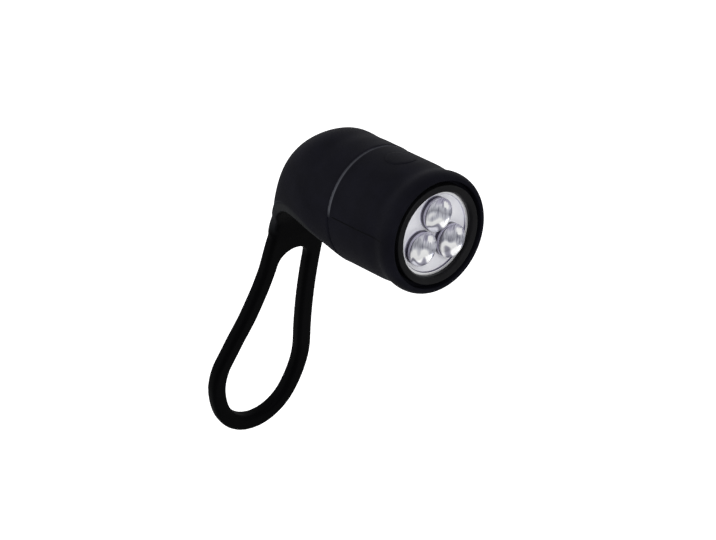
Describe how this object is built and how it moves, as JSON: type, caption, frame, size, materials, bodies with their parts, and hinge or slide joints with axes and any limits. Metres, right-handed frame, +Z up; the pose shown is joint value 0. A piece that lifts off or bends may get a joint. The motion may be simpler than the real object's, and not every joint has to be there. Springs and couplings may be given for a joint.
{
  "type": "bike tail light",
  "caption": "Small round bicycle light in a black silicone holder with a stretch strap loop, a top button and a clear collimator lens.",
  "frame": {"origin": "centre of the handlebar that the saddle under the hood seats on", "axes": "+X is the way the light shines, +Y runs along the handlebar, +Z is up"},
  "size_m": [0.0718, 0.0306, 0.0934],
  "materials": {
    "silicone_holder": "matte",
    "silicone_sleeve": "matte",
    "silicone_button": "matte",
    "silicone_strap": "matte",
    "barrel_abs": "matte",
    "bezel_abs": "satin",
    "lens_acrylic": "polished",
    "seal_rubber": "matte",
    "reflector_abs": "gloss",
    "board_laminate": "satin",
    "white_laminate": "satin",
    "screw_steel": "bright",
    "chip_resin": "matte",
    "contact_brass": "bright",
    "switch_plastic": "matte",
    "pusher_acetal": "satin",
    "carrier_abs": "matte",
    "contact_steel": "bright",
    "cap_abs": "matte",
    "led_epoxy": "gloss",
    "cell_steel": "bright"
  },
  "bodies": {
    "holder": {"rear_holder": "silicone_holder", "front_sleeve": "silicone_sleeve"},
    "strap": {"strap_loop": "silicone_strap"},
    "button": {"button_pad": "silicone_button"},
    "pusher": {"button_pusher": "pusher_acetal", "switch_plunger": "switch_plastic"},
    "cap": {"battery_cap": "cap_abs", "cap_seal": "seal_rubber", "negative_contact": "contact_steel"},
    "capsule": {"capsule_barrel": "barrel_abs", "front_bezel": "bezel_abs", "collimator_lens": "lens_acrylic", "lens_gasket": "seal_rubber", "reflector_plate": "reflector_abs", "led_board": "white_laminate", "board_screws": "screw_steel", "controller_chip": "chip_resin", "resistors": "chip_resin", "switch_board": "board_laminate", "header_pins": "contact_brass", "switch_body": "switch_plastic", "battery_carrier": "carrier_abs", "positive_contact": "contact_steel", "negative_strip": "contact_steel", "led_top": "led_epoxy", "led_left": "led_epoxy", "led_right": "led_epoxy", "front_coin_cell": "cell_steel", "rear_coin_cell": "cell_steel"}
  },
  "joints": [
    {"name": "button_press", "type": "slide", "parent": "holder", "child": "button", "axis": [0, 0, -1], "range_m": [0, 0.0004], "stiffness_N_per_m": 1500},
    {"name": "capsule_slide", "type": "slide", "parent": "holder", "child": "capsule", "axis": [1, 0, 0], "range_m": [0, 0.032]},
    {"name": "pusher_press", "type": "slide", "parent": "capsule", "child": "pusher", "axis": [0, 0, -1], "range_m": [0, 0.00065]},
    {"name": "cap_twist", "type": "hinge", "parent": "capsule", "child": "cap", "pos_m": [0.0164, 0, 0.0162], "axis": [1, 0, 0], "range_deg": [0, 35]},
    {"name": "strap_swing", "type": "hinge", "parent": "holder", "child": "strap", "pos_m": [-0.01194, 0, 0.00388], "axis": [0, -1, 0], "range_deg": [-20, 60], "stiffness_Nm_per_rad": 0.02}
  ],
  "couplings": [
    {"joint": "pusher_press", "follows": "button_press", "ratio": 1}
  ]
}
